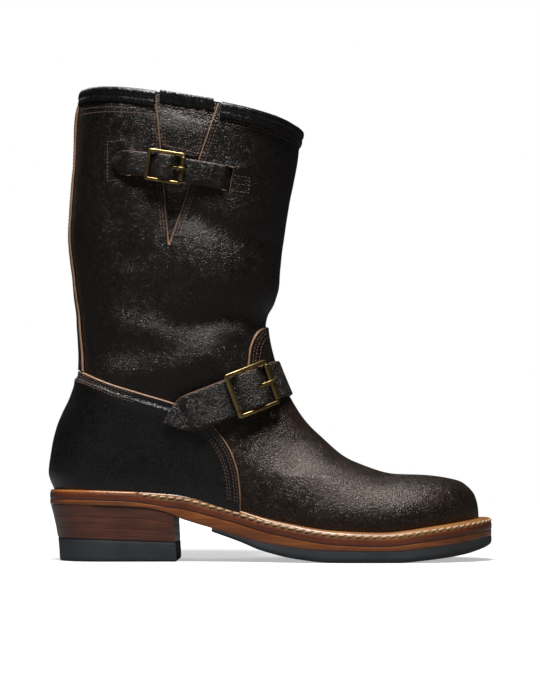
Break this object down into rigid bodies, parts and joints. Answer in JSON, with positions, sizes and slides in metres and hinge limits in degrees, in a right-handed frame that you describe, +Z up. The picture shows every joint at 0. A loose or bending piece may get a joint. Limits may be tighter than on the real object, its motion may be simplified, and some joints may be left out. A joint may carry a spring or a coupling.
{
  "type": "engineer boot",
  "caption": "Pull-on engineer boot for the right foot with a buckled instep strap, a buckled strap over a notch at the top, stacked heel and rubber half sole",
  "frame": {"origin": "on the floor at the centre of the heel tread", "axes": "+X to the toe, +Y to the inner side of the foot, +Z up"},
  "size_m": [0.3049, 0.1085, 0.3225],
  "materials": {
    "vamp_leather": "glossy grained black over brown",
    "grained_leather": "glossy grained black over brown",
    "strap_leather": "glossy grained black, brown edges",
    "welt_leather": "natural tan",
    "sole_leather": "burnished mahogany edge",
    "stack_leather": "burnished brown stack",
    "insole_leather": "plain tan",
    "sole_rubber": "matte dark grey",
    "buckle_brass": "aged brass"
  },
  "bodies": {
    "root": {"upper": "vamp_leather", "counter": "grained_leather", "shaft": "grained_leather", "gusset": "grained_leather", "gusset_binding": "grained_leather", "collar_binding": "grained_leather", "back_strip": "grained_leather", "insole": "insole_leather", "welt": "welt_leather", "heel_seat_rand": "welt_leather", "midsole": "sole_leather", "outsole": "sole_leather", "half_sole": "sole_rubber", "heel_top_lift": "sole_rubber", "heel_lift_1": "stack_leather", "heel_lift_2": "stack_leather", "heel_lift_3": "stack_leather", "instep_strap": "strap_leather", "instep_chape": "strap_leather", "instep_buckle_frame": "buckle_brass", "instep_buckle_roller": "buckle_brass", "instep_buckle_prong": "buckle_brass", "shaft_strap": "strap_leather", "shaft_chape": "strap_leather", "shaft_buckle_frame": "buckle_brass", "shaft_buckle_roller": "buckle_brass", "shaft_buckle_prong": "buckle_brass"}
  },
  "joints": []
}
